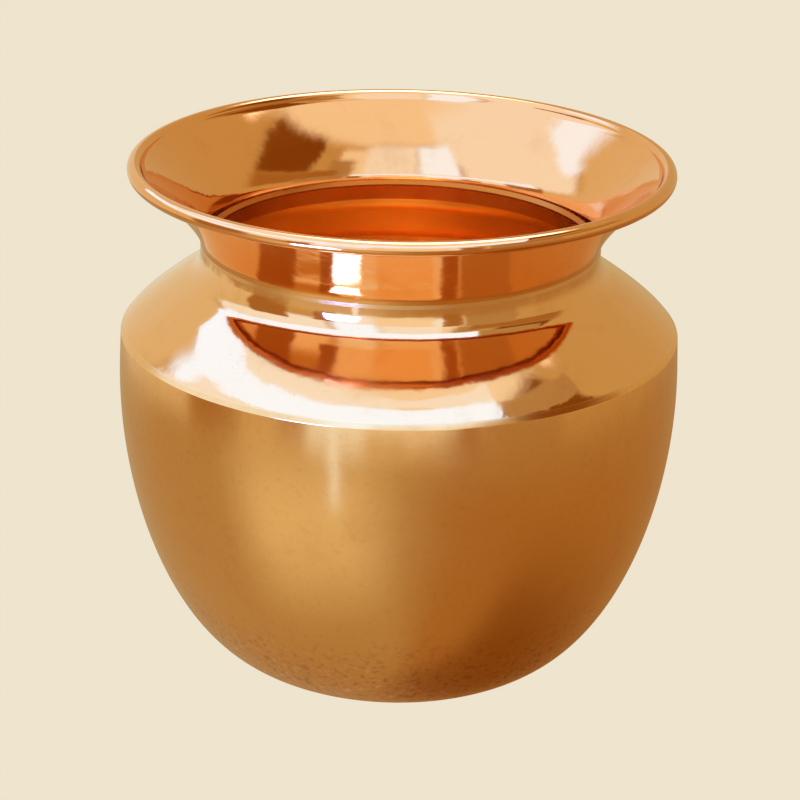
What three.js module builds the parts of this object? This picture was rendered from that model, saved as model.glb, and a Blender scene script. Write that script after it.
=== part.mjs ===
// Copper lota: a round water vessel with a wide belly, a crisp shoulder line, a short narrow neck
// and a flared mouth whose edge is rolled round a wire. Three turned shells are lapped and brazed.
// Millimetres, +Z up, with the origin at the middle of the base, on the surface it stands on.

import * as THREE from 'three';

const { Vector2 } = THREE;

// Sheet and joints
const sheet = 0.7; // thickness of the copper sheet
const brazeGap = 0.15; // room that the brazing metal fills in a lap
const shoulderLap = 4.5; // how far the shoulder reaches down inside the bowl
const neckLap = 3.2; // how far the neck reaches down inside the shoulder's collar

// Bowl
const baseRadius = 30; // outer edge of the ring that the vessel stands on
const baseRingWidth = 8;
const baseDish = 0.8; // how far the middle of the base is pushed up
const baseDishSlope = 2.5; // width of the step between ring and dish
const lowerFullness = 17.5; // how far the curve runs out flat from the base
const bellyFullness = 34; // how far the curve keeps upright below the seam stretch
const bellySwell = 0.35; // extra radius at the foot of the straight seam stretch
const seamStretch = 6; // straight wall below the shoulder line
const shoulderLineHeight = 74.7;
const shoulderLineRadius = 60;

// Shoulder
const shoulderPitch = THREE.MathUtils.degToRad(50); // slope just above the shoulder line
const shoulderFullness = 5; // how far the shoulder keeps that slope
const shoulderEase = 2; // how far it runs straight before the hollow under the neck
const shoulderRise = 17.1; // shoulder line to the foot of the upright collar
const hollowRadius = 6.5; // hollow between shoulder and neck
const hollowSweep = THREE.MathUtils.degToRad(56);
const collarHeight = 1.4;

// Neck, mouth and wired lip
const neckRadius = 42.7;
const neckRun = 1.5; // how far the neck keeps upright before it flares
const flareFullness = 14; // how far the flare runs straight below the lip
const flareSlope = THREE.MathUtils.degToRad(40);
const lipRadius = 57.8; // outermost radius of the rolled lip
const lipRise = 17.2; // neck seam to the middle of the rolled lip
const wireRadius = 0.8;
const lipTuck = THREE.MathUtils.degToRad(35); // how much the sheet turns up before it rolls over
const lipRoll = THREE.MathUtils.degToRad(300); // how far the sheet rolls round the wire

// Fineness of the faceted surfaces
const turnSegments = 56;
const wallSteps = 12;
const slopeSteps = 7;
const hollowSteps = 5;
const flareSteps = 10;
const rollStep = THREE.MathUtils.degToRad(30);
const angleSlack = 1e-6; // so that rounding never adds or drops the last step of the roll

const polished = new THREE.MeshStandardMaterial({ color: 0xd98a4e, roughness: 0.16, metalness: 1 });
const brushed = new THREE.MeshStandardMaterial({ color: 0xc98650, roughness: 0.3, metalness: 1 });
const wireCopper = new THREE.MeshStandardMaterial({ color: 0xb8703f, roughness: 0.4, metalness: 1 });
const brazing = new THREE.MeshStandardMaterial({ color: 0xd8a860, roughness: 0.3, metalness: 1 });

const at = (radius, height) => new Vector2(radius, height);
const heading = (angle) => new Vector2(Math.cos(angle), Math.sin(angle));
const from = (point, direction, distance) => point.clone().addScaledVector(direction, distance);

// A line in the profile that lies a set distance to the left of another, with mitred corners
function offsetPath(path, distance) {
  const leftOf = (a, b) => {
    const along = b.clone().sub(a).normalize();
    return new Vector2(-along.y, along.x);
  };
  return path.map((point, i) => {
    const before = i > 0 ? leftOf(path[i - 1], point) : leftOf(point, path[i + 1]);
    const after = i < path.length - 1 ? leftOf(point, path[i + 1]) : before;
    const mitre = before.clone().add(after).normalize();
    return from(point, mitre, distance / mitre.dot(after));
  });
}

function curve(start, startHandle, endHandle, end, steps) {
  return new THREE.CubicBezierCurve(start, startHandle, endHandle, end).getPoints(steps);
}

// A profile turned about the upright axis into a closed solid
function turned(profile) {
  const closed = profile[0].x === 0 ? profile : [...profile, profile[0]];
  return new THREE.LatheGeometry(closed, turnSegments).rotateX(Math.PI / 2);
}

const group = new THREE.Group();

function addPiece(name, profile, material) {
  const piece = new THREE.Mesh(turned(profile), material);
  piece.name = name;
  group.add(piece);
}

// The shoulder line, where the bowl's wall is dressed to the slope of the shoulder
const shoulderLine = at(shoulderLineRadius, shoulderLineHeight);
const wallFoot = at(shoulderLineRadius + bellySwell, shoulderLineHeight - seamStretch);
const wallUp = shoulderLine.clone().sub(wallFoot).normalize();
const wallIn = new Vector2(-wallUp.y, wallUp.x);
const pitch = heading(Math.PI - shoulderPitch);
const onShoulderSlope = (depth) => from(shoulderLine, pitch, depth / pitch.dot(wallIn));
const bowlEdge = onShoulderSlope(sheet);
const shoulderEdge = onShoulderSlope(sheet + brazeGap);
const lapEnd = (edge) => from(edge, wallUp, -shoulderLap);

// The collar at the neck seam
const collarFoot = shoulderLineHeight + shoulderRise;
const seamHeight = collarFoot + collarHeight;
const collarBore = neckRadius - sheet;
const lapRadius = collarBore - brazeGap; // outside of the neck where it lies in the collar

function bowl() {
  const ringInner = baseRadius - baseRingWidth;
  const outside = [
    at(0, baseDish),
    at(ringInner - baseDishSlope, baseDish),
    at(ringInner, 0),
    ...curve(
      at(baseRadius, 0),
      at(baseRadius + lowerFullness, 0),
      from(wallFoot, wallUp, -bellyFullness),
      wallFoot,
      wallSteps,
    ),
    shoulderLine,
  ];
  const inside = offsetPath(outside, sheet);
  inside[inside.length - 1] = bowlEdge;
  return [...outside, ...inside.reverse()];
}

function shoulder() {
  const hollowCentre = at(neckRadius + hollowRadius, collarFoot);
  const hollow = [];
  for (let i = 0; i <= hollowSteps; i += 1) {
    const angle = Math.PI + hollowSweep * (1 - i / hollowSteps);
    hollow.push(from(hollowCentre, heading(angle), hollowRadius));
  }
  const easeHeading = heading(hollowSweep - Math.PI / 2);
  const slope = curve(
    shoulderEdge,
    from(shoulderEdge, pitch, shoulderFullness),
    from(hollow[0], easeHeading, shoulderEase),
    hollow[0],
    slopeSteps,
  );
  const outside = [lapEnd(shoulderEdge), ...slope, ...hollow.slice(1), at(neckRadius, seamHeight)];
  return [...outside, ...offsetPath(outside, sheet).reverse()];
}

// The middle of the wire, and the points round it that the rolled sheet and the wire share
const wireCentre = at(lipRadius - sheet - wireRadius, seamHeight + lipRise);
const rollStart = flareSlope + lipTuck + Math.PI / 2;
const roundWire = (turn) => from(wireCentre, heading(rollStart - turn), wireRadius);

function neckAndMouth() {
  const neckFoot = at(neckRadius, seamHeight + sheet + brazeGap);
  const tuckFoot = from(roundWire(0), heading(flareSlope + lipTuck), -wireRadius);
  const flare = curve(
    neckFoot,
    from(neckFoot, heading(Math.PI / 2), neckRun),
    from(tuckFoot, heading(flareSlope), -flareFullness),
    tuckFoot,
    flareSteps,
  );
  const roll = [];
  for (let turn = 0; turn <= lipRoll + angleSlack; turn += rollStep) {
    roll.push(roundWire(turn));
  }
  const outside = [at(lapRadius, seamHeight - neckLap), at(lapRadius, seamHeight), ...flare, ...roll];
  return [...outside, ...offsetPath(outside, sheet).reverse()];
}

function lipWire() {
  const round = [];
  for (let turn = 0; turn < 2 * Math.PI - angleSlack; turn += rollStep) {
    round.push(roundWire(turn));
  }
  return round.reverse();
}

function shoulderBraze() {
  return [lapEnd(bowlEdge), bowlEdge, shoulderEdge, lapEnd(shoulderEdge)];
}

function neckBraze() {
  return [
    at(lapRadius, seamHeight - neckLap),
    at(collarBore, seamHeight - neckLap),
    at(collarBore, seamHeight),
    at(neckRadius, seamHeight),
    at(neckRadius, seamHeight + sheet + brazeGap),
    at(lapRadius, seamHeight),
  ];
}

addPiece('bowl', bowl(), brushed);
addPiece('shoulder', shoulder(), polished);
addPiece('neck_and_mouth', neckAndMouth(), polished);
addPiece('lip_wire', lipWire(), wireCopper);
addPiece('shoulder_braze', shoulderBraze(), brazing);
addPiece('neck_braze', neckBraze(), brazing);

export default group;
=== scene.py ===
"""Copper lota: a round water vessel of raised sheet copper, polished, on a pale floor.

Each piece is a profile turned about the upright axis. Everything is in metres, +Z up, with the
origin at the middle of the base. The camera looks along +Y.
"""
import math

import bpy
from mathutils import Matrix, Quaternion, Vector


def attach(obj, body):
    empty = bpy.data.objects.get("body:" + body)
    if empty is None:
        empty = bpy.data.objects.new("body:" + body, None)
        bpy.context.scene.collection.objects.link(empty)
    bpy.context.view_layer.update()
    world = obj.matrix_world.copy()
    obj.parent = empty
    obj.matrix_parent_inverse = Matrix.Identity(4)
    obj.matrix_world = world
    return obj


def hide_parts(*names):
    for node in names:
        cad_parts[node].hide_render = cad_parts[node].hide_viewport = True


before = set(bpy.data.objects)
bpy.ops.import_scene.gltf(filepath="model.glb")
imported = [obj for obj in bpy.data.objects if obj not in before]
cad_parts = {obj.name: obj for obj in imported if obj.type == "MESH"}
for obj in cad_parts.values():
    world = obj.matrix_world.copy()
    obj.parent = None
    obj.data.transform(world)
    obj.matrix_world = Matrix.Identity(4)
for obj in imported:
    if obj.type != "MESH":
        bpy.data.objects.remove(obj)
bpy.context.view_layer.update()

bl_info = {
    "name": "Copper lota",
    "version": (1, 0, 0),
    "blender": (4, 5, 0),
    "location": "3D View > Sidebar > Lota",
    "description": "Builds a copper lota from turned profiles, with its finishes and its stage",
    "category": "Object",
}

UP = math.pi / 2

# Details that a user would not change: lengths in metres, and angles in radians unless it says so
BASE_RING_WIDTH = 0.008
BASE_DISH = 0.0008  # how far the middle of the base is pushed up
BASE_DISH_SLOPE = 0.0025  # width of the step between ring and dish
BASE_DISH_ROUND = 0.002  # rounds of the two corners of that step
BASE_RING_ROUND = 0.0015
LOWER_FULLNESS = 0.0175  # how far the curve runs out flat from the base
BELLY_FULLNESS = 0.034  # how far the curve keeps upright below the seam stretch
BELLY_SWELL = 0.00032  # extra radius at the foot of the straight seam stretch
SEAM_STRETCH = 0.006  # straight wall below the shoulder line
SHOULDER_LAP = 0.0045
SHOULDER_PITCH = math.radians(50)
SHOULDER_FULLNESS = 0.005
SHOULDER_EASE = 0.002
SHOULDER_RISE = 0.0171  # shoulder line to the foot of the upright collar
HOLLOW_RADIUS = 0.0065
HOLLOW_SWEEP = math.radians(56)
COLLAR_HEIGHT = 0.0014
NECK_LAP = 0.0032
NECK_RUN = 0.0015  # how far the neck keeps upright before it flares
FLARE_FULLNESS = 0.014
FLARE_SLOPE = math.radians(40)
LIP_TUCK = math.radians(35)  # how much the sheet turns up before it rolls over
LIP_ROLL = 300  # degrees that the sheet rolls round the wire
LIP_STEP = 12  # degrees between two points round the wire
LIP_DROP = 0.00004  # keeps the round lip inside the box of the faceted solid
SOFT_BEND = math.radians(35)  # a sharper bend than this is shaded as an edge
CAMERA_AIM = (0.00043, 0, 0.0567)  # the point that the camera looks at

# Stretches in the smooth curves of the profiles
WALL_STEPS = 60
HOLLOW_STEPS = 14
SLOPE_STEPS = 30
FLARE_STEPS = 34


# Sizes and finishes

class LotaSizes(bpy.types.PropertyGroup):
    sheet: bpy.props.FloatProperty(
        name="Sheet", description="Thickness of the copper sheet",
        default=0.0007, precision=5, unit="LENGTH")
    braze_gap: bpy.props.FloatProperty(
        name="Braze gap", description="Room that the brazing metal fills in a lap",
        default=0.00015, precision=5, unit="LENGTH")
    base_radius: bpy.props.FloatProperty(
        name="Base radius", description="Outer edge of the ring that the vessel stands on",
        default=0.030, precision=4, unit="LENGTH")
    shoulder_radius: bpy.props.FloatProperty(
        name="Shoulder radius", description="Radius at the crisp line between bowl and shoulder",
        default=0.060, precision=4, unit="LENGTH")
    shoulder_height: bpy.props.FloatProperty(
        name="Shoulder height", description="Height of the crisp line between bowl and shoulder",
        default=0.0747, precision=4, unit="LENGTH")
    neck_radius: bpy.props.FloatProperty(
        name="Neck radius", description="Outside radius of the neck",
        default=0.0427, precision=4, unit="LENGTH")
    lip_radius: bpy.props.FloatProperty(
        name="Lip radius", description="Outermost radius of the rolled lip",
        default=0.0578, precision=4, unit="LENGTH")
    lip_rise: bpy.props.FloatProperty(
        name="Lip rise", description="Neck seam to the middle of the rolled lip",
        default=0.0172, precision=4, unit="LENGTH")
    wire_radius: bpy.props.FloatProperty(
        name="Wire radius", description="Radius of the wire inside the rolled lip",
        default=0.0008, precision=5, unit="LENGTH")
    edge_radius: bpy.props.FloatProperty(
        name="Edge radius", description="How softly the shoulder line is dressed",
        default=0.0004, precision=5, unit="LENGTH")
    turn_steps: bpy.props.IntProperty(
        name="Turn steps", description="Faces round the vessel", default=192, min=24, max=360)


class LotaFinish(bpy.types.PropertyGroup):
    polished: bpy.props.FloatVectorProperty(
        name="Polished copper", description="Colour of the bright shoulder, neck and mouth",
        default=(0.93, 0.50, 0.21), size=3, subtype="COLOR", min=0, max=1)
    neck: bpy.props.FloatVectorProperty(
        name="Neck copper", description="Colour of the outside of the neck and the flare",
        default=(0.90, 0.43, 0.14), size=3, subtype="COLOR", min=0, max=1)
    mouth: bpy.props.FloatVectorProperty(
        name="Mouth copper", description="Colour of the inside of the flared mouth",
        default=(0.93, 0.45, 0.17), size=3, subtype="COLOR", min=0, max=1)
    bowl: bpy.props.FloatVectorProperty(
        name="Bowl copper", description="Colour of the softly hazed bowl",
        default=(0.91, 0.49, 0.18), size=3, subtype="COLOR", min=0, max=1)
    # Used for random aged patches, and also as painted shade that darkens the bowl towards its foot
    tarnish_and_shade: bpy.props.FloatVectorProperty(
        name="Tarnish", description="Colour that the copper turns to where it has aged",
        default=(0.72, 0.30, 0.09), size=3, subtype="COLOR", min=0, max=1)
    inside: bpy.props.FloatVectorProperty(
        name="Inside copper", description="Colour of the unpolished inside of bowl and shoulder",
        default=(1.0, 0.52, 0.14), size=3, subtype="COLOR", min=0, max=1)
    # Painted shade: this dark red on the step where the neck laps into the collar stands in for shade
    # and dims the step's reflection
    lap: bpy.props.FloatVectorProperty(
        name="Lap", description="Colour of the dull step where the neck laps into the collar",
        default=(0.58, 0.14, 0.015), size=3, subtype="COLOR", min=0, max=1)
    bloom: bpy.props.FloatVectorProperty(
        name="Bloom", description="Colour of the pale clouds on the bowl",
        default=(0.93, 0.56, 0.26), size=3, subtype="COLOR", min=0, max=1)
    pit: bpy.props.FloatVectorProperty(
        name="Pit", description="Colour of the dark specks near the foot",
        default=(0.36, 0.13, 0.03), size=3, subtype="COLOR", min=0, max=1)
    glint: bpy.props.FloatVectorProperty(
        name="Glint", description="Colour of the light specks near the foot",
        default=(0.98, 0.78, 0.52), size=3, subtype="COLOR", min=0, max=1)
    brass: bpy.props.FloatVectorProperty(
        name="Brazing metal", description="Colour of the filler in the two seams",
        default=(0.92, 0.55, 0.24), size=3, subtype="COLOR", min=0, max=1)
    wobble: bpy.props.FloatProperty(
        name="Wobble", description="Depth of the hand-beaten unevenness under the polish",
        default=0.00022, precision=5, unit="LENGTH")


class LotaStage(bpy.types.PropertyGroup):
    floor: bpy.props.FloatVectorProperty(
        name="Floor", description="Colour of the pale floor",
        default=(0.863, 0.775, 0.617), size=3, subtype="COLOR", min=0, max=1)
    lens: bpy.props.FloatProperty(
        name="Lens", description="Focal length in millimetres on a 36 mm sensor",
        default=107.0, unit="CAMERA")
    distance: bpy.props.FloatProperty(
        name="Distance", description="Camera to the point it looks at",
        default=0.522, unit="LENGTH")
    elevation: bpy.props.FloatProperty(
        name="Elevation", description="How far the camera looks down",
        default=math.radians(22.1), subtype="ANGLE")
    roll: bpy.props.FloatProperty(
        name="Roll", description="How far the camera is turned about its own axis",
        default=math.radians(1.02), subtype="ANGLE")


# Profiles: points of radius and height

def at(radius, height):
    return Vector((radius, height))


def heading(angle):
    return Vector((math.cos(angle), math.sin(angle)))


def left_of(start, end):
    along = (end - start).normalized()
    return Vector((-along.y, along.x))


def curve(start, start_handle, end_handle, end, steps):
    points = []
    for i in range(steps + 1):
        t = i / steps
        s = 1 - t
        points.append(
            s ** 3 * start + 3 * s * s * t * start_handle
            + 3 * s * t * t * end_handle + t ** 3 * end)
    return points


def arc(centre, radius, start, end, steps):
    """Points round a centre, from one angle to another."""
    return [centre + radius * heading(start + (end - start) * i / steps) for i in range(steps + 1)]


def offset_path(path, distance):
    """A path that lies a set distance to the left of another, with mitred corners."""
    moved = []
    for i, point in enumerate(path):
        before = left_of(path[i - 1], point) if i > 0 else left_of(point, path[i + 1])
        after = left_of(point, path[i + 1]) if i < len(path) - 1 else before
        mitre = (before + after).normalized()
        moved.append(point + mitre * (distance / mitre.dot(after)))
    return moved


def softened(before, corner, after, radius, steps=5):
    """The points of a small round that replaces a corner and stays on its two sides."""
    to_before = (before - corner).normalized()
    to_after = (after - corner).normalized()
    half = to_before.angle(to_after) / 2
    reach = min(radius / math.tan(half), 0.45 * min((before - corner).length, (after - corner).length))
    start = corner + to_before * reach
    end = corner + to_after * reach
    return [
        (1 - t) ** 2 * start + 2 * t * (1 - t) * corner + t * t * end
        for t in (i / steps for i in range(steps + 1))
    ]


class Profile:
    """The lines that the pieces share, worked out from the sizes."""

    def __init__(self, sizes):
        self.sizes = sizes
        self.sheet = sizes.sheet
        self.gap = sizes.braze_gap
        self.line = at(sizes.shoulder_radius, sizes.shoulder_height)
        self.wall_foot = self.line + at(BELLY_SWELL, -SEAM_STRETCH)
        self.wall_up = (self.line - self.wall_foot).normalized()
        self.wall_in = at(-self.wall_up.y, self.wall_up.x)
        self.pitch = heading(math.pi - SHOULDER_PITCH)
        self.bowl_edge = self.on_slope(self.sheet)
        self.shoulder_edge = self.on_slope(self.sheet + self.gap)
        self.collar_foot = self.line.y + SHOULDER_RISE
        self.seam = self.collar_foot + COLLAR_HEIGHT
        self.collar_bore = sizes.neck_radius - self.sheet
        self.lap_radius = self.collar_bore - self.gap
        self.neck_foot = at(sizes.neck_radius, self.seam + self.sheet + self.gap)
        self.tuck_slope = FLARE_SLOPE + LIP_TUCK
        self.wire = at(
            sizes.lip_radius - self.sheet - sizes.wire_radius,
            self.seam + sizes.lip_rise - LIP_DROP)

    def on_slope(self, depth):
        return self.line + self.pitch * (depth / self.pitch.dot(self.wall_in))

    def lap_end(self, edge):
        return edge - self.wall_up * SHOULDER_LAP

    def bowl(self):
        base = self.sizes.base_radius
        ring_inner = base - BASE_RING_WIDTH
        dish_edge = at(ring_inner - BASE_DISH_SLOPE, BASE_DISH)
        ring = at(ring_inner, 0)
        side = curve(
            at(base, 0), at(base + LOWER_FULLNESS, 0),
            self.wall_foot - self.wall_up * BELLY_FULLNESS, self.wall_foot, WALL_STEPS)
        outside = [at(0, BASE_DISH)]
        outside += softened(outside[0], dish_edge, ring, BASE_DISH_ROUND)
        outside += softened(dish_edge, ring, side[0], BASE_RING_ROUND)
        outside += side
        inside = offset_path(outside + [self.line], self.sheet)[:-1]
        outside += softened(side[-1], self.line, self.bowl_edge, self.sizes.edge_radius)
        outside.append(self.bowl_edge)
        return outside, inside[::-1]

    def shoulder(self):
        neck = self.sizes.neck_radius
        centre = at(neck + HOLLOW_RADIUS, self.collar_foot)
        hollow = arc(centre, HOLLOW_RADIUS, math.pi + HOLLOW_SWEEP, math.pi, HOLLOW_STEPS)
        slope = curve(
            self.shoulder_edge, self.shoulder_edge + self.pitch * SHOULDER_FULLNESS,
            hollow[0] + heading(HOLLOW_SWEEP - UP) * SHOULDER_EASE, hollow[0], SLOPE_STEPS)
        outside = [self.lap_end(self.shoulder_edge)] + slope + hollow[1:]
        outside.append(at(neck, self.seam))
        return outside, offset_path(outside, self.sheet)[::-1]

    def round_wire(self, turn):
        return self.wire + heading(self.tuck_slope + UP - turn) * self.sizes.wire_radius

    def neck_and_mouth(self):
        foot = self.neck_foot
        tuck = self.round_wire(0) - heading(self.tuck_slope) * self.sizes.wire_radius
        flare = curve(
            foot, foot + at(0, NECK_RUN),
            tuck - heading(FLARE_SLOPE) * FLARE_FULLNESS, tuck, FLARE_STEPS)
        roll = [self.round_wire(math.radians(turn)) for turn in range(0, LIP_ROLL + 1, LIP_STEP)]
        outside = [at(self.lap_radius, self.seam - NECK_LAP), at(self.lap_radius, self.seam)]
        outside += flare + roll
        return outside, offset_path(outside, self.sheet)[::-1]

    def lip_wire(self):
        turns = range(360 - LIP_STEP, -1, -LIP_STEP)
        return [self.round_wire(math.radians(turn)) for turn in turns], []

    def shoulder_braze(self):
        return [
            self.lap_end(self.bowl_edge), self.bowl_edge,
            self.shoulder_edge, self.lap_end(self.shoulder_edge),
        ], []

    def neck_braze(self):
        return [
            at(self.lap_radius, self.seam - NECK_LAP), at(self.collar_bore, self.seam - NECK_LAP),
            at(self.collar_bore, self.seam), at(self.sizes.neck_radius, self.seam),
            self.neck_foot, at(self.lap_radius, self.seam),
        ], []


# Nodes

def add_node(tree, kind, settings=None, sockets=None):
    """Any node: its settings first, then values or links for its sockets."""
    node = tree.nodes.new(kind)
    for name, value in (settings or {}).items():
        setattr(node, name, value)
    for name, value in (sockets or {}).items():
        socket = node.inputs[name]
        if isinstance(value, bpy.types.NodeSocket):
            tree.links.new(value, socket)
        else:
            socket.default_value = value
    return node


# Turned shells, made by one Geometry Nodes tree

def turning_tree():
    """Turns a profile drawn in the XZ plane about the Z axis into a closed shell."""
    tree = bpy.data.node_groups.new("turned_shell", "GeometryNodeTree")
    for name, kind in (
        ("Profile", "NodeSocketGeometry"), ("Turn steps", "NodeSocketInt"),
        ("Finish", "NodeSocketMaterial"),
    ):
        tree.interface.new_socket(name, in_out="INPUT", socket_type=kind)
    tree.interface.new_socket("Shell", in_out="OUTPUT", socket_type="NodeSocketGeometry")

    def math_node(operation, a, b=0):
        node = add_node(tree, "ShaderNodeMath", {"operation": operation}, {0: a, 1: b})
        return node.outputs[0]

    given = tree.nodes.new("NodeGroupInput")
    profile = given.outputs["Profile"]
    steps = given.outputs["Turn steps"]
    # a sheet of faces, whose points in a row run through the profile and back to its first point
    size = add_node(tree, "GeometryNodeAttributeDomainSize", None, {"Geometry": profile})
    count = size.outputs["Point Count"]
    across = math_node("ADD", count, 1)
    grid = add_node(tree, "GeometryNodeMeshGrid", None, {
        "Size X": 1.0, "Size Y": 1.0,
        "Vertices X": math_node("ADD", steps, 1), "Vertices Y": across})
    index = tree.nodes.new("GeometryNodeInputIndex").outputs[0]
    turn = math_node("FLOOR", math_node("DIVIDE", math_node("ADD", index, 0.5), across))
    place = math_node("SUBTRACT", index, math_node("MULTIPLY", turn, across))
    place = math_node("FLOORED_MODULO", math_node("ADD", place, 0.5), count)
    place = math_node("FLOOR", place)

    def sampled(data_type, value):
        node = add_node(
            tree, "GeometryNodeSampleIndex", {"data_type": data_type, "domain": "POINT"},
            {"Geometry": profile, "Value": value, "Index": place})
        return node.outputs[0]

    position = tree.nodes.new("GeometryNodeInputPosition").outputs[0]
    point = sampled("FLOAT_VECTOR", position)
    part = add_node(tree, "ShaderNodeSeparateXYZ", None, {0: point})
    angle = math_node("DIVIDE", math_node("MULTIPLY", turn, math.tau), steps)
    ring = add_node(tree, "ShaderNodeCombineXYZ", None, {
        "X": math_node("MULTIPLY", part.outputs["X"], math_node("COSINE", angle)),
        "Y": math_node("MULTIPLY", part.outputs["X"], math_node("SINE", angle)),
        "Z": part.outputs["Z"]})
    placed = add_node(tree, "GeometryNodeSetPosition", None, {
        "Geometry": grid.outputs["Mesh"], "Position": ring.outputs[0]})
    face = add_node(
        tree, "GeometryNodeInputNamedAttribute", {"data_type": "FLOAT"}, {"Name": "inner_face"})
    marked = add_node(
        tree, "GeometryNodeStoreNamedAttribute", {"data_type": "FLOAT", "domain": "POINT"},
        {"Geometry": placed.outputs[0], "Name": "inner_face",
         "Value": sampled("FLOAT", face.outputs[0])})
    merged = add_node(tree, "GeometryNodeMergeByDistance", None, {
        "Geometry": marked.outputs[0], "Distance": 1e-6})
    smooth = add_node(
        tree, "GeometryNodeSetShadeSmooth", {"domain": "FACE"}, {"Geometry": merged.outputs[0]})
    bend = tree.nodes.new("GeometryNodeInputMeshEdgeAngle").outputs["Unsigned Angle"]
    sharp = math_node("GREATER_THAN", bend, SOFT_BEND)
    creased = add_node(
        tree, "GeometryNodeSetShadeSmooth", {"domain": "EDGE"},
        {"Geometry": smooth.outputs[0], "Selection": sharp, "Shade Smooth": False})
    real = add_node(
        tree, "GeometryNodeRealizeInstances", None, {"Geometry": creased.outputs[0]})
    finished = add_node(tree, "GeometryNodeSetMaterial", None, {
        "Geometry": real.outputs[0], "Material": given.outputs["Finish"]})
    result = tree.nodes.new("NodeGroupOutput")
    tree.links.new(finished.outputs[0], result.inputs["Shell"])
    return tree


def turned_piece(node, sides, steps, finish):
    """Turns the outside and inside of a profile into a piece that stands for a CAD node."""
    outside, inside = sides
    points = outside + inside
    mesh = bpy.data.meshes.new(node + "_profile")
    edges = [(i, (i + 1) % len(points)) for i in range(len(points))]
    mesh.from_pydata([(p.x, 0, p.y) for p in points], edges, [])
    inner = mesh.attributes.new("inner_face", "FLOAT", "POINT")
    inner.data.foreach_set("value", [0.0] * len(outside) + [1.0] * len(inside))
    piece = bpy.data.objects.new(node + "_copper", mesh)
    bpy.context.scene.collection.objects.link(piece)
    tree = bpy.data.node_groups.get("turned_shell") or turning_tree()
    turning = piece.modifiers.new("Turned shell", "NODES")
    turning.node_group = tree
    for item in tree.interface.items_tree:
        if item.name == "Turn steps":
            turning[item.identifier] = steps
        elif item.name == "Finish":
            turning[item.identifier] = finish
    ready = bpy.context.evaluated_depsgraph_get()
    shell = bpy.data.meshes.new_from_object(piece.evaluated_get(ready), depsgraph=ready)
    piece.modifiers.remove(turning)
    piece.data = shell
    shell.name = node + "_shell"
    bpy.data.meshes.remove(mesh)
    if not len(shell.polygons):
        raise RuntimeError(node + " came out empty")
    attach(piece, "root")
    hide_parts(node)


# Shader maths

class Field:
    """A number that varies over a surface: Python's operators on it add Math nodes."""

    def __init__(self, shader, socket):
        self.shader = shader
        self.socket = socket

    def maths(self, operation, *others):
        return self.shader.maths(operation, self, *others)

    def __add__(self, other):
        return self.maths("ADD", other)

    def __radd__(self, other):
        return self.shader.maths("ADD", other, self)

    def __sub__(self, other):
        return self.maths("SUBTRACT", other)

    def __rsub__(self, other):
        return self.shader.maths("SUBTRACT", other, self)

    def __mul__(self, other):
        return self.maths("MULTIPLY", other)

    def __rmul__(self, other):
        return self.shader.maths("MULTIPLY", other, self)

    def __truediv__(self, other):
        return self.maths("DIVIDE", other)

    def __rtruediv__(self, other):
        return self.shader.maths("DIVIDE", other, self)

    def __abs__(self):
        return self.maths("ABSOLUTE")

    def rises(self, low, high):
        """0 below the low mark, 1 above the high one and a smooth step between."""
        return self.ramp(low, high, 0.0, 1.0)

    def ramp(self, low, high, first, last):
        node = self.shader.node(
            "ShaderNodeMapRange", {"interpolation_type": "SMOOTHSTEP"},
            {"Value": self, "From Min": low, "From Max": high, "To Min": first, "To Max": last})
        return node.result()

    def falls(self, low, high):
        return self.ramp(low, high, 1.0, 0.0)


class Made:
    """A node that has been added, with its outputs as fields."""

    def __init__(self, shader, node):
        self.shader = shader
        self.node = node

    def result(self, name=0):
        return Field(self.shader, self.node.outputs[name])


class Shader:
    """A node tree that is written as Python expressions."""

    def __init__(self, tree):
        self.tree = tree
        tree.nodes.clear()

    def node(self, kind, settings=None, sockets=None):
        node = add_node(self.tree, kind, settings)
        for name, value in (sockets or {}).items():
            self.feed(node.inputs[name], value)
        return Made(self, node)

    def feed(self, socket, value):
        if isinstance(value, Field):
            self.tree.links.new(value.socket, socket)
        elif socket.type == "RGBA":
            socket.default_value = (*value[:3], 1)
        else:
            socket.default_value = value

    def maths(self, operation, *values):
        made = self.node("ShaderNodeMath", {"operation": operation}, dict(enumerate(values)))
        return made.result()

    def mix(self, factor, first, second):
        """One colour over another. The node has an A and a B for every kind, so they go by number."""
        made = self.node("ShaderNodeMix", {"data_type": "RGBA"})
        self.feed(made.node.inputs[0], factor)
        self.feed(made.node.inputs[6], first)
        self.feed(made.node.inputs[7], second)
        return made.result(2)

    def vector(self, x, y, z):
        return self.node("ShaderNodeCombineXYZ", None, {"X": x, "Y": y, "Z": z}).result()

    def parts(self, vector):
        made = self.node("ShaderNodeSeparateXYZ", None, {0: vector})
        return made.result("X"), made.result("Y"), made.result("Z")

    def noise(self, vector, scale, detail=2.0, roughness=0.5):
        made = self.node("ShaderNodeTexNoise", {"noise_dimensions": "3D"}, {
            "Vector": vector, "Scale": scale, "Detail": detail, "Roughness": roughness})
        return made.result(0)


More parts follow.
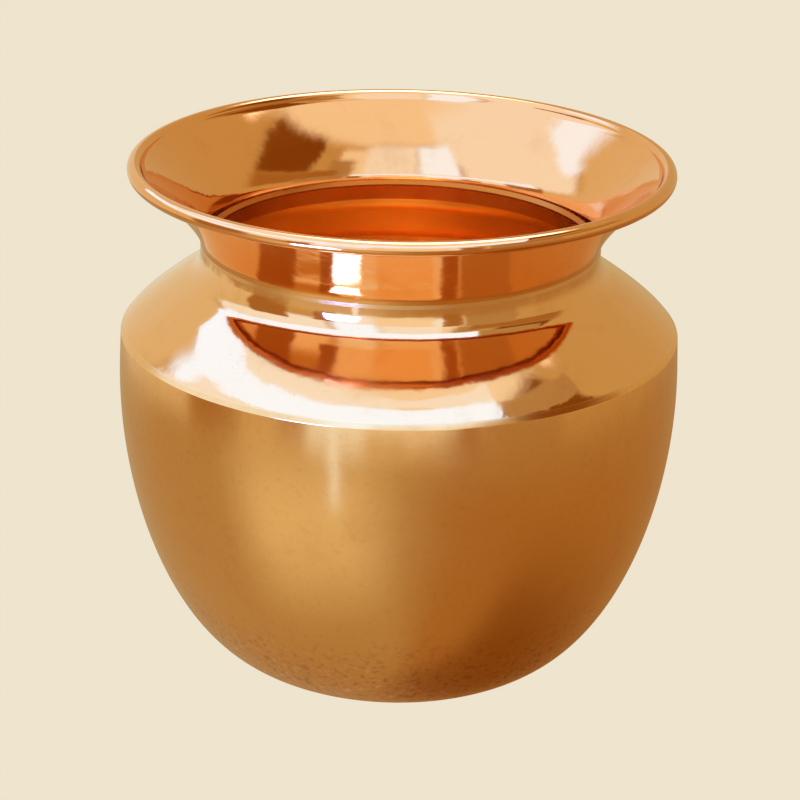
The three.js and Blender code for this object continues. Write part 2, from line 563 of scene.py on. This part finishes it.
class CopperSkin(Shader):
    """The start of each metal of this vessel: where a point lies, and the closing shader."""

    def __init__(self, name):
        self.material = bpy.data.materials.new(name)
        self.material.use_nodes = True
        super().__init__(self.material.node_tree)
        self.place = self.node("ShaderNodeTexCoord").result("Object")
        self.x, self.y, self.height = self.parts(self.place)
        self.radius = self.maths("SQRT", self.x * self.x + self.y * self.y)
        self.inner = self.node(
            "ShaderNodeAttribute", {"attribute_name": "inner_face"}).result("Fac")

    def rings(self, spacing):
        """Lines that a polishing mop leaves round the vessel, about this far apart."""
        around = self.maths("MAXIMUM", self.radius, 0.004)
        lines = self.vector(
            self.x / around * 1.6, self.y / around * 1.6,
            self.height / spacing + self.radius / spacing * 0.8)
        return self.noise(lines, 1.0, 3.0, 0.6)

    def close(self, colour, roughness, bumps):
        """Joins colour, roughness and a list of heights with their depths to the surface."""
        normal = None
        for height, depth in bumps:
            sockets = {"Height": height, "Strength": 1.0, "Distance": depth}
            if normal is not None:
                sockets["Normal"] = normal
            normal = self.node("ShaderNodeBump", None, sockets).result()
        metal = self.node("ShaderNodeBsdfPrincipled", None, {
            "Base Color": colour, "Metallic": 1.0, "Roughness": roughness, "Normal": normal})
        out = self.node("ShaderNodeOutputMaterial")
        self.tree.links.new(metal.node.outputs[0], out.node.inputs["Surface"])
        return self.material


def polished_copper(scene):
    """Bright copper with faint mop lines, smudges, a hand-beaten waviness, a dressed seam and painted
    shade on the step inside the neck lap.
    """
    finish = scene.lota_finish
    lines = Profile(scene.lota_sizes)
    seam = lines.seam
    bore = lines.collar_bore
    edge = lines.line.y
    skin = CopperSkin("polished_copper_skin")
    rings = skin.rings(0.0011)
    smudge = skin.noise(skin.place, 48.0, 4.0, 0.62)
    broad = skin.noise(skin.place, 62.0, 1.0, 0.4)
    aged = skin.noise(skin.place, 85.0, 5.0, 0.65).rises(0.52, 0.78)
    speck = skin.noise(skin.place, 1500.0, 2.0, 0.5).rises(0.66, 0.74)
    above_seam = skin.height.rises(seam - 0.0002, seam + 0.0006)
    colour = skin.mix(above_seam, finish.polished, finish.mouth)
    colour = skin.mix(above_seam * (1 - skin.inner), colour, finish.neck)
    colour = skin.mix(aged * 0.35, colour, finish.tarnish_and_shade)
    colour = skin.mix(speck * 0.25, colour, finish.tarnish_and_shade)
    unpolished = skin.maths("MAXIMUM", skin.inner, skin.radius.falls(bore - 0.0001, bore))
    unpolished = unpolished * skin.height.falls(seam + 0.0004, seam + 0.0018)
    colour = skin.mix(unpolished, colour, finish.inside)
    # Painted shade on the inside step where the neck laps into the collar
    lap_shade_mask = skin.inner * skin.height.rises(seam - 0.0002, seam)
    lap_shade_mask = lap_shade_mask * skin.height.falls(seam + 0.0011, seam + 0.0015)
    colour = skin.mix(lap_shade_mask * 0.95, colour, finish.lap)
    roughness = 0.05 + smudge.rises(0.42, 0.75) * 0.06 + rings * 0.03
    roughness = roughness + unpolished * 0.12 + lap_shade_mask * 0.12
    beaten = skin.noise(skin.place, 210.0, 2.0, 0.5)
    dressed = skin.noise(skin.place, 130.0, 3.0, 0.6)
    dressed = dressed * skin.height.falls(edge + 0.0005, edge + 0.0028)
    return skin.close(colour, roughness, [
        (broad, finish.wobble), (beaten, finish.wobble * 0.18),
        (dressed, finish.wobble * 0.7), (rings, 0.000004)])


def bowl_copper(scene):
    """Hand-polished copper gone soft: cloudy, faintly ringed, speckled towards the foot, and darkened
    towards the foot with painted shade.
    """
    finish = scene.lota_finish
    skin = CopperSkin("bowl_copper_skin")
    rings = skin.rings(0.0009)
    haze = skin.noise(skin.place, 32.0, 5.0, 0.6)
    broad = skin.noise(skin.place, 45.0, 1.0, 0.4)
    stain = skin.noise(skin.place, 70.0, 6.0, 0.68).rises(0.5, 0.8)
    cloud = skin.noise(skin.place, 17.0, 3.0, 0.55).rises(0.42, 0.68)
    low = skin.height.falls(0.006, 0.030)
    grit = skin.noise(skin.place, 700.0, 3.0, 0.6)
    dark = grit.rises(0.54, 0.66)
    light = grit.falls(0.33, 0.41)
    # The low * 0.6 share is painted shade: the bowl's colour darkens towards the foot, beside the
    # random stains
    colour = skin.mix(stain * 0.35 + low * 0.6, finish.bowl, finish.tarnish_and_shade)
    colour = skin.mix(cloud * 0.25, colour, finish.bloom)
    colour = skin.mix(dark * (0.06 + low * 0.5), colour, finish.pit)
    colour = skin.mix(light * low * 0.5, colour, finish.glint)
    colour = skin.mix(skin.inner, colour, finish.inside)
    roughness = 0.12 + haze.rises(0.35, 0.7) * 0.05 + cloud * 0.06 + rings * 0.03
    roughness = roughness + low * 0.10 + skin.inner * 0.12
    return skin.close(colour, roughness, [
        (broad, finish.wobble), (grit * (0.2 + low * 0.8), 0.000008), (rings, 0.000003)])


def wire_copper(scene):
    """Drawn wire: dull, with fine lines along it."""
    finish = scene.lota_finish
    skin = CopperSkin("wire_copper_skin")
    rings = skin.rings(0.0003)
    dull = skin.noise(skin.place, 300.0, 3.0, 0.6)
    colour = skin.mix(dull.rises(0.4, 0.8) * 0.7, finish.bowl, finish.tarnish_and_shade)
    return skin.close(colour, 0.35 + rings * 0.15, [(rings, 0.00001)])


def brazing_metal(scene):
    """Brass filler, dressed flush, a little pitted."""
    finish = scene.lota_finish
    skin = CopperSkin("brazing_metal_skin")
    pits = skin.noise(skin.place, 1800.0, 3.0, 0.6)
    tint = skin.noise(skin.place, 160.0, 3.0, 0.6).rises(0.35, 0.7)
    colour = skin.mix(tint * 0.6, finish.brass, finish.polished)
    colour = skin.mix(pits.rises(0.6, 0.75) * 0.5, colour, finish.tarnish_and_shade)
    return skin.close(colour, 0.14 + pits * 0.12, [(pits, 0.00001)])


FINISHES = {
    "polished_copper": polished_copper,
    "bowl_copper": bowl_copper,
    "wire_copper": wire_copper,
    "brazing_metal": brazing_metal,
}


def finish_named(slot, scene):
    return bpy.data.materials.get(slot + "_skin") or FINISHES[slot](scene)


def make(context, node, slot):
    """Turns one piece by the name of its CAD node and the slot of its metal."""
    sizes = context.scene.lota_sizes
    sides = getattr(Profile(sizes), node)()
    metal = finish_named(slot, context.scene)
    turned_piece(node, sides, sizes.turn_steps, metal)


# Stage: what is round the vessel

# The light that each kind of studio card gives. Copper takes the blue out of what it mirrors, so a
# card that is to look white in it is bluish.
CARD_LIGHT = {
    "lamp": (5.0, 5.6, 8.0),
    "side lamp": (5.0, 9.0, 42.0),
    "white": (1.05, 1.85, 4.2),
    "cream": (1.02, 1.4, 2.2),
    "pale": (1.0, 1.15, 1.3),
    "sand": (0.8, 0.78, 0.6),
    "honey": (0.62, 0.5, 0.26),
    "tan": (0.5, 0.38, 0.2),
    "brown": (0.42, 0.23, 0.07),
    "dark": (0.24, 0.09, 0.01),
}

# The soft cards and flags of the studio, all in degrees: round from the camera's side and above
# level, half width and half height, softness of the edges, and then the kind of card
PANELS = {
    "ceiling": (0, 78, 200, 18, 5, "pale"),
    "overhead lamp": (180, 70, 65, 15, 5, "lamp"),
    "high box left": (-90, 60, 60, 18, 8, "cream"),
    "box left": (-80, 34, 40, 26, 5, "cream"),
    "box front": (-24, 26, 13, 34, 3, "white"),
    "box front right": (8, 24, 19, 36, 4, "cream"),
    "box right": (34, 20, 10, 36, 3, "pale"),
    "dark flag": (81, 46, 21, 14, 3, "dark"),
    "tan flag": (40, 33, 9, 13, 3, "tan"),
    "long flag": (75, 22, 34, 10, 3, "brown"),
    "side box": (-126, 42, 16, 11, 3, "white"),
    "back right": (140, 10, 36, 36, 5, "honey"),
    "back left": (-150, 10, 26, 28, 5, "sand"),
    "low box left": (-115, -4, 30, 22, 3, "sand"),
    "low flag left": (-78, -4, 14, 24, 2, "brown"),
    "low box front left": (-25, -2, 12, 15, 2, "cream"),
    "low flag": (-42, -2, 6, 15, 1, "brown"),
    "low box front": (2, 0, 16, 15, 2, "pale"),
    "low flag right": (29, -4, 5, 22, 1.5, "brown"),
    "low card right": (52, 0, 17, 20, 2, "tan"),
    "far card right": (98, 3, 30, 15, 2, "honey"),
    "table": (0, -54.5, 400, 36, 1, "tan"),
    "light on the table": (-38, -34, 30, 16, 16, "sand"),
    "strip light": (-25, -22, 1.6, 9, 0.8, "cream"),
    "table right": (98, -54, 86, 36, 17, "brown"),
    "table far right": (115, -70, 56, 24, 16, "dark"),
}

# Ring-shaped cards over the front of the vessel: degrees round, millimetres from the axis, half
# width in degrees, half depth in millimetres, and the kind of card
CARDS = {
    "white ring card": (-34, 90.5, 72, 14.5, "white"),
    "cream ring card": (-24, 71.5, 62, 4.5, "cream"),
    "tan ring card": (56, 92.5, 17, 12, "tan"),
}


class Surroundings(Shader):
    """The soft cards and flags that the copper mirrors, set out by direction, with uneven edges."""

    def __init__(self, world):
        world.use_nodes = True
        super().__init__(world.node_tree)
        direction = self.node("ShaderNodeTexCoord").result("Generated")
        x, y, z = self.parts(direction)
        uneven = self.noise(direction, 5.0, 2.0, 0.5) - 0.5
        slant = self.noise(direction, 7.0, 2.0, 0.5) - 0.5
        self.around = self.maths("ARCTAN2", x, 0 - y) * (180 / math.pi) + uneven * 5
        self.rise = self.maths("ARCSINE", z) * (180 / math.pi) + slant * 3

    def panel(self, around, rise, half_width, half_height, soft):
        """A soft-edged panel: degrees from the camera's side towards +X, and above level."""
        high = abs(self.rise - rise).falls(half_height - soft, half_height + soft)
        if half_width >= 180:
            return high
        turned = self.maths("PINGPONG", self.around - around, 180.0)
        return high * turned.falls(half_width - soft, half_width + soft)

    def close(self, colour, backdrop):
        """The studio as the copper mirrors it, and a plain backdrop as the camera sees it."""
        seen = self.node("ShaderNodeLightPath").result("Is Camera Ray")
        colour = self.mix(seen, colour, backdrop)
        back = self.node("ShaderNodeBackground", None, {"Color": colour, "Strength": 1.0})
        out = self.node("ShaderNodeOutputWorld")
        self.tree.links.new(back.node.outputs[0], out.node.inputs["Surface"])


def build_surroundings(stage):
    world = bpy.data.worlds.new("soft_studio")
    bpy.context.scene.world = world
    world.cycles.sampling_method = "NONE"
    studio = Surroundings(world)
    colour = CARD_LIGHT["honey"]
    for around, rise, half_width, half_height, soft, kind in PANELS.values():
        panel = studio.panel(around, rise, half_width, half_height, soft)
        colour = studio.mix(panel, colour, CARD_LIGHT[kind])
    studio.close(colour, stage.floor)


def glowing(name, colour):
    """A plain light-giving surface for the stage."""
    material = bpy.data.materials.new(name)
    material.use_nodes = True
    shader = Shader(material.node_tree)
    light = shader.node("ShaderNodeEmission", None, {"Color": colour, "Strength": 1.0})
    out = shader.node("ShaderNodeOutputMaterial")
    shader.tree.links.new(light.node.outputs[0], out.node.inputs["Surface"])
    return material


def stage_mesh(name, points, faces, colour):
    mesh = bpy.data.meshes.new(name)
    mesh.from_pydata(points, [], faces)
    mesh.materials.append(glowing(name, colour))
    thing = bpy.data.objects.new(name, mesh)
    bpy.context.scene.collection.objects.link(thing)
    thing.visible_diffuse = False
    thing.visible_shadow = False
    return thing


def build_floor(stage):
    """The pale floor that the camera sees, evenly lit."""
    corners = [(-4, -4, 0), (4, -4, 0), (4, 4, 0), (-4, 4, 0)]
    floor = stage_mesh("pale_floor", corners, [(0, 1, 2, 3)], stage.floor)
    floor.visible_glossy = False


def build_cards(height=0.14, steps=72):
    """Cards just over the vessel, with slightly uneven edges, which its shoulder and lip mirror."""
    for name, (around, out, half_width, half_depth, kind) in CARDS.items():
        points = []
        for i in range(steps + 1):
            angle = math.radians(around - half_width + 2 * half_width * i / steps)
            sway = 0.0012 * math.sin(5.1 * angle + 1.0) + 0.0007 * math.sin(17.0 * angle)
            for radius in ((out - half_depth) / 1000 + sway, (out + half_depth) / 1000 - sway):
                points.append((radius * math.sin(angle), -radius * math.cos(angle), height))
        faces = [(2 * i, 2 * i + 1, 2 * i + 3, 2 * i + 2) for i in range(steps)]
        card = stage_mesh(name.replace(" ", "_"), points, faces, CARD_LIGHT[kind])
        card.visible_camera = False


def build_side_light(distance=0.092, around=-25, low=0.081, high=0.097, half_width=0.013):
    """A small strong light close to the neck, mirrored mostly by the neck and the hollow under it."""
    turn = math.radians(around)
    middle = Vector((distance * math.sin(turn), -distance * math.cos(turn), 0))
    along = Vector((math.cos(turn), math.sin(turn), 0)) * half_width
    points = [
        middle + side * along + Vector((0, 0, height))
        for side, height in ((-1, low), (1, low), (0.8, high), (-0.7, high))
    ]
    light = stage_mesh("side_light", points, [(0, 1, 2, 3)], CARD_LIGHT["side lamp"])
    light.visible_camera = False


def place_camera(stage):
    data = bpy.data.cameras.new("camera")
    data.lens = stage.lens
    data.sensor_width = 36.0
    data.clip_start = 0.01
    camera = bpy.data.objects.new("camera", data)
    away = Vector((0, -math.cos(stage.elevation), math.sin(stage.elevation)))
    camera.location = Vector(CAMERA_AIM) + away * stage.distance
    camera.rotation_mode = "QUATERNION"
    look = (-away).to_track_quat("-Z", "Y")
    camera.rotation_quaternion = look @ Quaternion((0, 0, 1), stage.roll)
    bpy.context.scene.collection.objects.link(camera)
    bpy.context.scene.camera = camera


# Operators and panel

class LOTA_OT_bowl(bpy.types.Operator):
    """Raise the bowl, from its base ring to the shoulder line"""
    bl_idname = "lota.bowl"
    bl_label = "Bowl"

    def execute(self, context):
        make(context, "bowl", "bowl_copper")
        return {"FINISHED"}


class LOTA_OT_shoulder(bpy.types.Operator):
    """Turn the shoulder, the hollow under the neck and the collar"""
    bl_idname = "lota.shoulder"
    bl_label = "Shoulder"

    def execute(self, context):
        make(context, "shoulder", "polished_copper")
        return {"FINISHED"}


class LOTA_OT_neck_and_mouth(bpy.types.Operator):
    """Turn the neck and the flared mouth, with its edge rolled over"""
    bl_idname = "lota.neck_and_mouth"
    bl_label = "Neck and mouth"

    def execute(self, context):
        make(context, "neck_and_mouth", "polished_copper")
        return {"FINISHED"}


class LOTA_OT_lip_wire(bpy.types.Operator):
    """Lay the wire that the lip is rolled round"""
    bl_idname = "lota.lip_wire"
    bl_label = "Lip wire"

    def execute(self, context):
        make(context, "lip_wire", "wire_copper")
        return {"FINISHED"}


class LOTA_OT_brazing(bpy.types.Operator):
    """Fill the laps at the shoulder line and at the neck"""
    bl_idname = "lota.brazing"
    bl_label = "Brazed seams"

    def execute(self, context):
        make(context, "shoulder_braze", "brazing_metal")
        make(context, "neck_braze", "brazing_metal")
        return {"FINISHED"}


class LOTA_OT_stage(bpy.types.Operator):
    """Set the floor, the soft light and the camera"""
    bl_idname = "lota.stage"
    bl_label = "Stage"

    def execute(self, context):
        stage = context.scene.lota_stage
        build_surroundings(stage)
        build_floor(stage)
        build_cards()
        build_side_light()
        place_camera(stage)
        context.scene.view_settings.view_transform = "Standard"
        return {"FINISHED"}


class LOTA_PT_panel(bpy.types.Panel):
    bl_label = "Copper lota"
    bl_idname = "LOTA_PT_panel"
    bl_space_type = "VIEW_3D"
    bl_region_type = "UI"
    bl_category = "Lota"

    def draw(self, context):
        for operator in OPERATORS:
            self.layout.operator(operator.bl_idname)
        for group in ("lota_sizes", "lota_finish", "lota_stage"):
            values = getattr(context.scene, group)
            box = self.layout.box()
            for name in type(values).__annotations__:
                box.prop(values, name)


OPERATORS = (
    LOTA_OT_bowl, LOTA_OT_shoulder, LOTA_OT_neck_and_mouth,
    LOTA_OT_lip_wire, LOTA_OT_brazing, LOTA_OT_stage,
)
GROUPS = (LotaSizes, LotaFinish, LotaStage)


def register():
    for made in (*GROUPS, *OPERATORS, LOTA_PT_panel):
        bpy.utils.register_class(made)
    bpy.types.Scene.lota_sizes = bpy.props.PointerProperty(type=LotaSizes)
    bpy.types.Scene.lota_finish = bpy.props.PointerProperty(type=LotaFinish)
    bpy.types.Scene.lota_stage = bpy.props.PointerProperty(type=LotaStage)


def unregister():
    del bpy.types.Scene.lota_stage
    del bpy.types.Scene.lota_finish
    del bpy.types.Scene.lota_sizes
    for made in reversed((*GROUPS, *OPERATORS, LOTA_PT_panel)):
        bpy.utils.unregister_class(made)


def main():
    register()
    bpy.ops.lota.bowl()
    bpy.ops.lota.shoulder()
    bpy.ops.lota.neck_and_mouth()
    bpy.ops.lota.lip_wire()
    bpy.ops.lota.brazing()
    bpy.ops.lota.stage()


if __name__ == "__main__":
    main()
